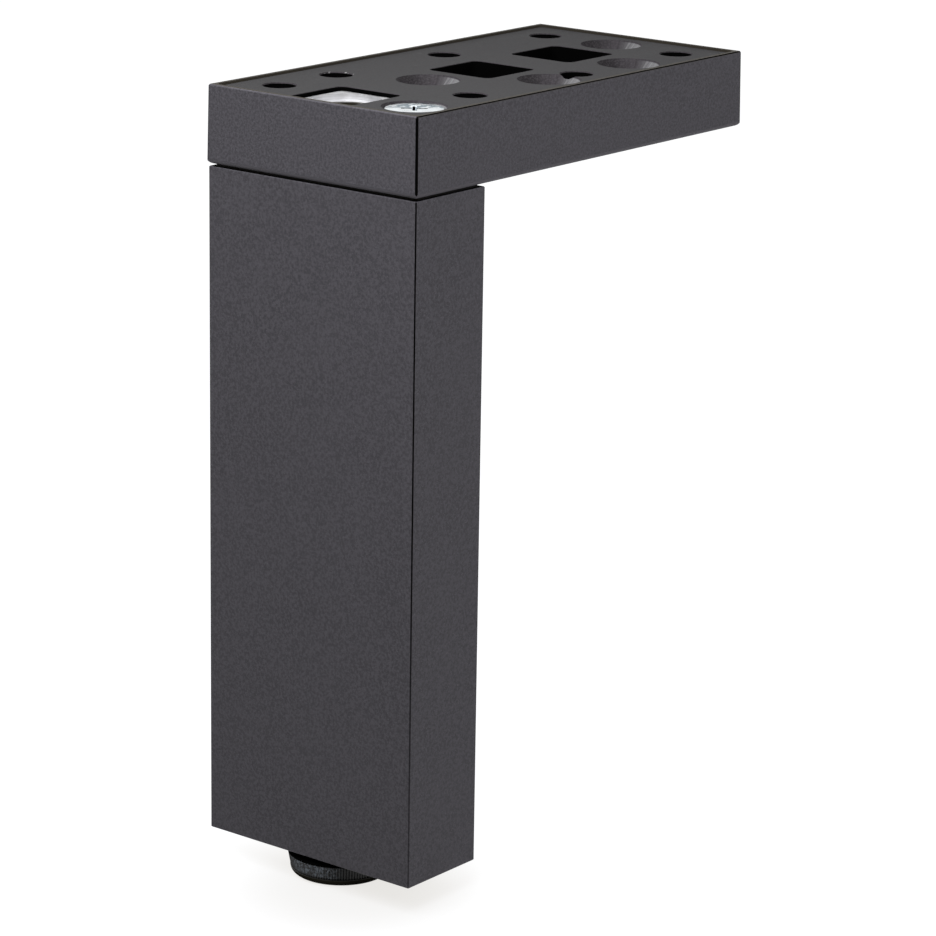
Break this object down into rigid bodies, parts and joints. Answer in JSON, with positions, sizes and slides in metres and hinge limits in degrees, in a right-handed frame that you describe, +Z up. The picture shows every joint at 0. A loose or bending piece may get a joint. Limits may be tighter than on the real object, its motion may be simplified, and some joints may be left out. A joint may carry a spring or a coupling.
{
  "type": "adjustable furniture leg",
  "caption": "L-shaped furniture leg: a flat rectangular head with screw holes and windows over one end of a rectangular tube column, which stands on a ribbed screw foot for levelling.",
  "frame": {"origin": "middle of the foot's lower face on the floor, on the axis of the column and the foot", "axes": "+Z up along the column, +X along the head away from the column, +Y across the head"},
  "size_m": [0.1001, 0.05, 0.15],
  "materials": {
    "coat": "anthracite fine-textured powder coat",
    "plate": "moulded, dark grey, fine matt grain",
    "zinc": "bright zinc plated steel",
    "block": "raw, machined",
    "plug": "moulded, black",
    "foot": "moulded, black, satin"
  },
  "bodies": {
    "leg": {"head_housing": "coat", "mounting_plate": "plate", "leg_screw": "zinc", "column": "coat", "top_block": "block", "bottom_plug": "plug", "spindle_nut": "zinc"},
    "spindle": {"spindle": "zinc"},
    "foot": {"foot_disc": "foot"}
  },
  "joints": [
    {"name": "foot_travel", "type": "slide", "parent": "leg", "child": "spindle", "axis": [0, 0, -1], "range_m": [-0.0009, 0.015]},
    {"name": "foot_turn", "type": "hinge", "parent": "spindle", "child": "foot", "pos_m": [0, 0, 0], "axis": [0, 0, -1], "range_deg": [-259.2, 4320]}
  ],
  "couplings": [
    {"joint": "foot_turn", "follows": "foot_travel", "rad_per_m": 5026.5}
  ]
}
